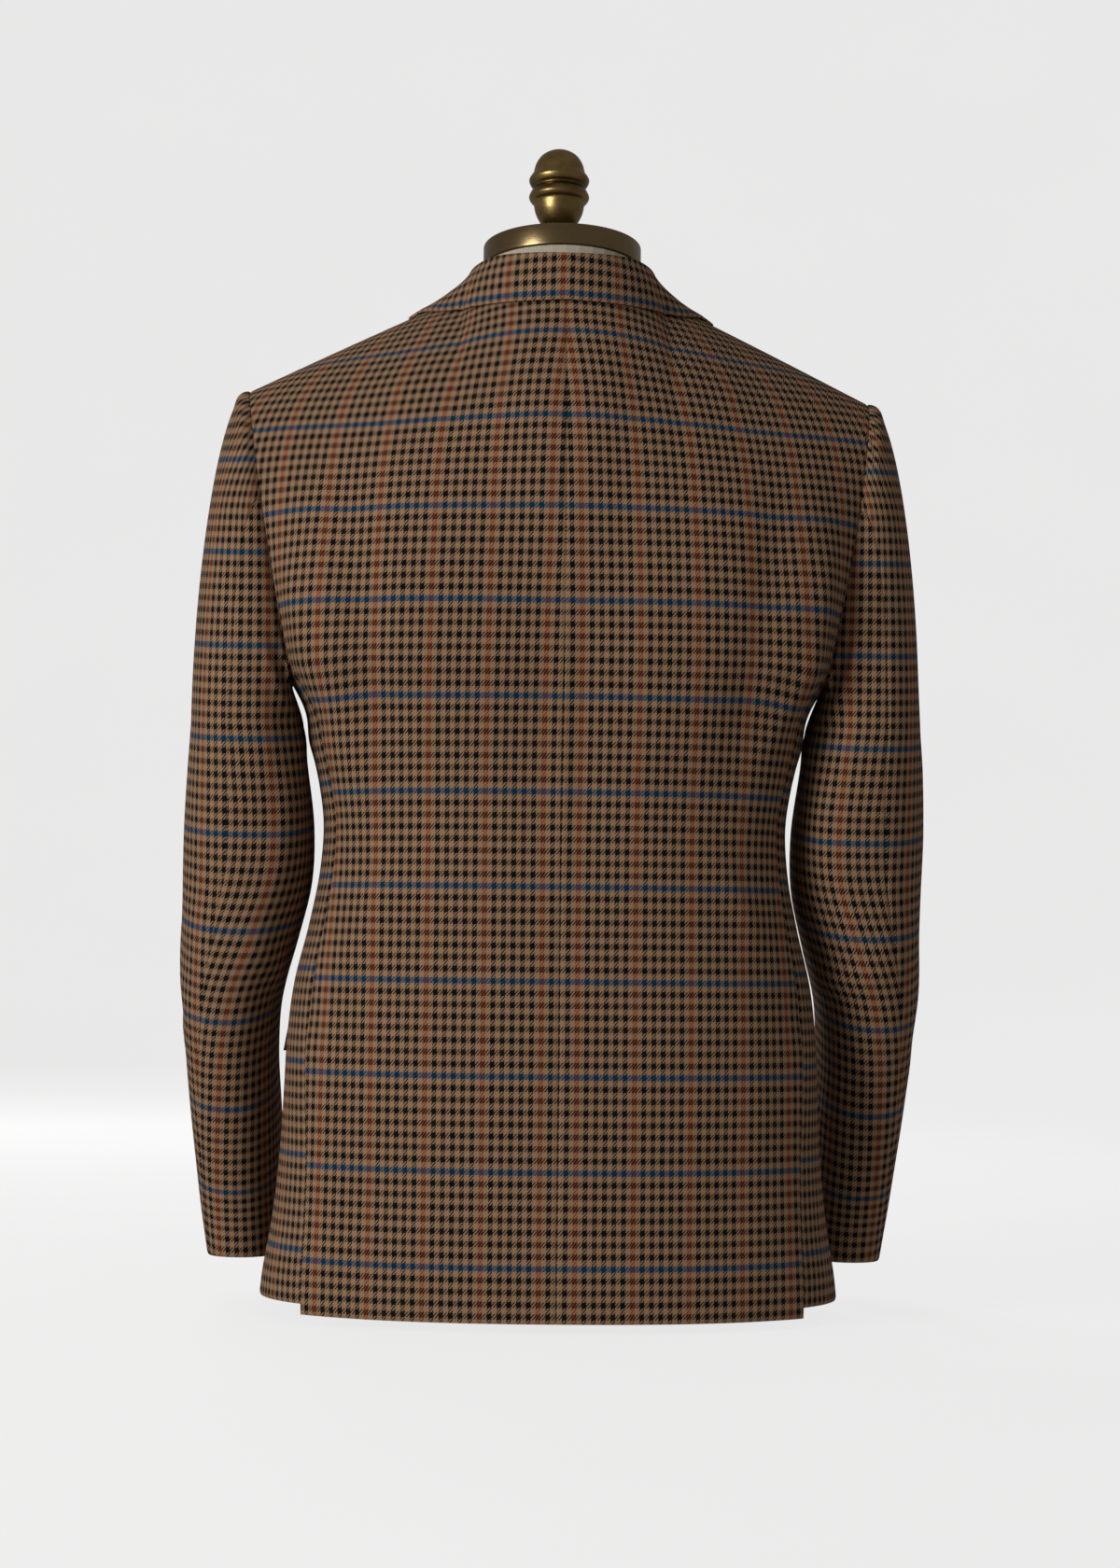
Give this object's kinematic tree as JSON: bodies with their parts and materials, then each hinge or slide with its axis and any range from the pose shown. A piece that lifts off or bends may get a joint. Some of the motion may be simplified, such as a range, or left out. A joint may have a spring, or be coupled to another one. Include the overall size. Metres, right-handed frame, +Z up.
{
  "type": "sport coat on dress form",
  "caption": "Single-breasted check sport coat with notch lapels, side vents and two-piece sleeves, shown on a limbless dress form with a brass neck cap and finial.",
  "frame": {"origin": "middle of the form's flat underside, on the surface it stands on", "axes": "+Z up; the coat faces -Y; +X is the wearer's left side"},
  "size_m": [0.57, 0.288, 0.8962],
  "materials": {
    "check_cloth": "brown and black check twill with rust and blue lines",
    "form_cover": "plain linen",
    "neck_cap": "brushed",
    "finial": "aged",
    "button": "horn brown"
  },
  "bodies": {
    "root": {"back_left": "check_cloth", "back_right": "check_cloth", "side_left": "check_cloth", "side_right": "check_cloth", "front_left": "check_cloth", "front_right": "check_cloth", "lapel_left": "check_cloth", "lapel_right": "check_cloth", "flap_left": "check_cloth", "flap_right": "check_cloth", "breast_welt": "check_cloth", "sleeve_top_left": "check_cloth", "sleeve_top_right": "check_cloth", "sleeve_under_left": "check_cloth", "sleeve_under_right": "check_cloth", "collar_fall": "check_cloth", "collar_stand": "check_cloth", "button_upper": "button", "button_lower": "button", "form_torso": "form_cover", "neck_cap": "neck_cap", "finial": "finial"}
  },
  "joints": []
}
